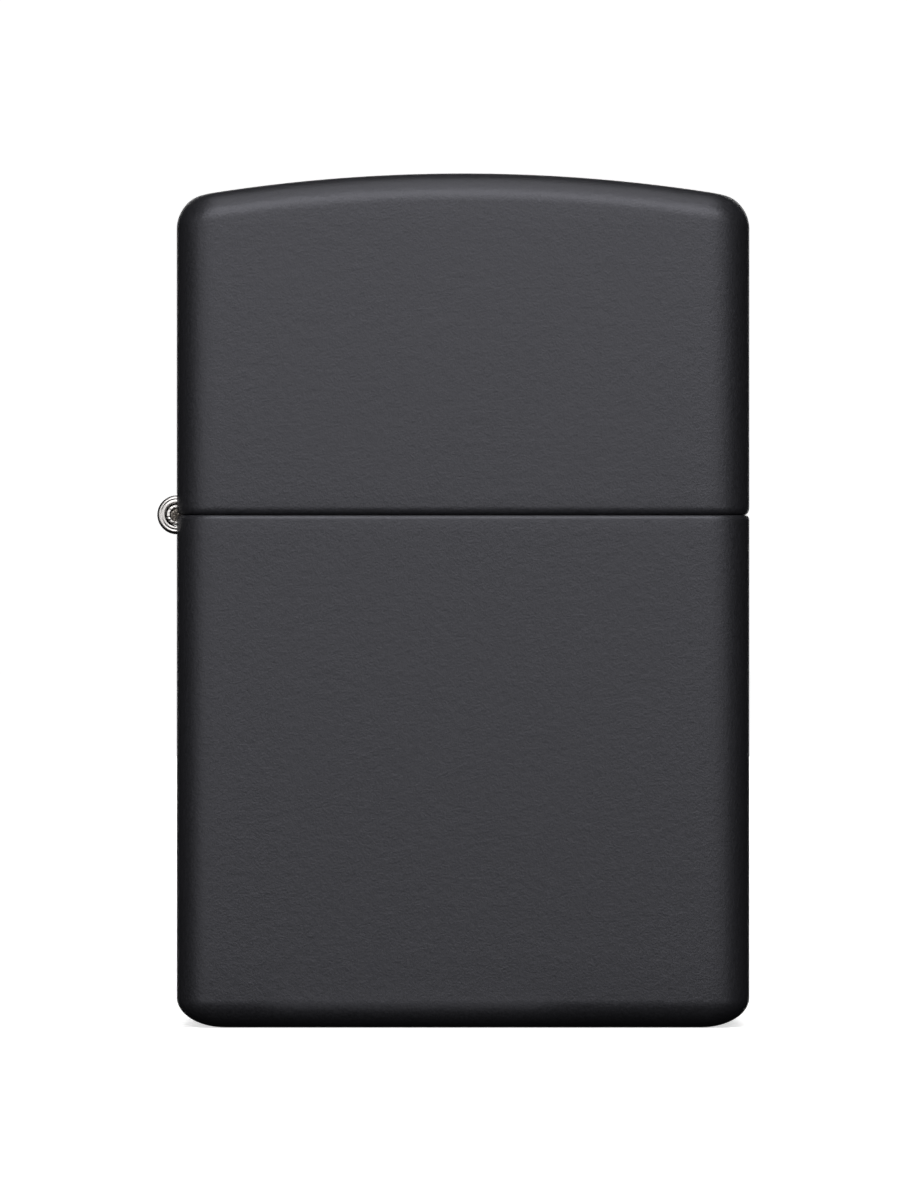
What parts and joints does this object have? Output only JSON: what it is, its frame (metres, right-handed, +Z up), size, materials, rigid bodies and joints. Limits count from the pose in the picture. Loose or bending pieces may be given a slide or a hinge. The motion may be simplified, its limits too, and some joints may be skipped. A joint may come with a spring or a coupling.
{
  "type": "windproof lighter",
  "caption": "Flip-top windproof petrol lighter with a matte black drawn case, a knuckle hinge at the side, and a burner unit with wind screen, flint wheel, cam and wick inside.",
  "frame": {"origin": "centre of the case's underside, half way between its two side walls and half way between its front and back faces", "axes": "+Z up towards the lid, +X towards the side opposite the hinge, +Y from the front face to the back face; drawn with the lid closed"},
  "size_m": [0.0394, 0.013, 0.0567],
  "materials": {
    "case_paint": "matte powder coat",
    "hinge_metal": "plated",
    "unit_steel": "brushed stainless",
    "wheel_steel": "hardened, oiled",
    "flint_alloy": "dull",
    "brass_parts": "satin",
    "wick_cotton": "braided",
    "wadding_fibre": "loose fibre",
    "pad_felt": "felt"
  },
  "bodies": {
    "base": {"case_bottom": "case_paint", "hinge_leaf_lower": "hinge_metal", "hinge_pin": "hinge_metal", "unit_shell": "unit_steel", "top_plate": "unit_steel", "cam_rivet": "unit_steel", "cam_spring": "unit_steel", "wheel_rivet": "unit_steel", "flint": "flint_alloy", "flint_plunger": "brass_parts", "flint_spring": "unit_steel", "flint_tube": "brass_parts", "flint_screw": "brass_parts", "wick": "wick_cotton", "felt_pad": "pad_felt", "wadding_1": "wadding_fibre", "wadding_2": "wadding_fibre", "wadding_3": "wadding_fibre", "wadding_4": "wadding_fibre", "wadding_5": "wadding_fibre", "wadding_6": "wadding_fibre", "wadding_7": "wadding_fibre"},
    "lid": {"case_lid": "case_paint", "hinge_leaf_upper": "hinge_metal"},
    "cam": {"cam": "unit_steel"},
    "wheel": {"flint_wheel": "wheel_steel"}
  },
  "joints": [
    {"name": "lid_hinge", "type": "hinge", "parent": "base", "child": "lid", "pos_m": [-0.01905, 0, 0.03405], "axis": [0, -1, 0], "range_deg": [0, 140]},
    {"name": "cam_turn", "type": "hinge", "parent": "base", "child": "cam", "pos_m": [-0.0119, 0, 0.0383], "axis": [0, 1, 0], "range_deg": [0, 44.1]},
    {"name": "wheel_spin", "type": "hinge", "parent": "base", "child": "wheel", "pos_m": [0.0084, 0, 0.0416], "axis": [0, 1, 0], "continuous": true}
  ],
  "couplings": [
    {"joint": "cam_turn", "follows": "lid_hinge", "ratio": 0.31429}
  ]
}
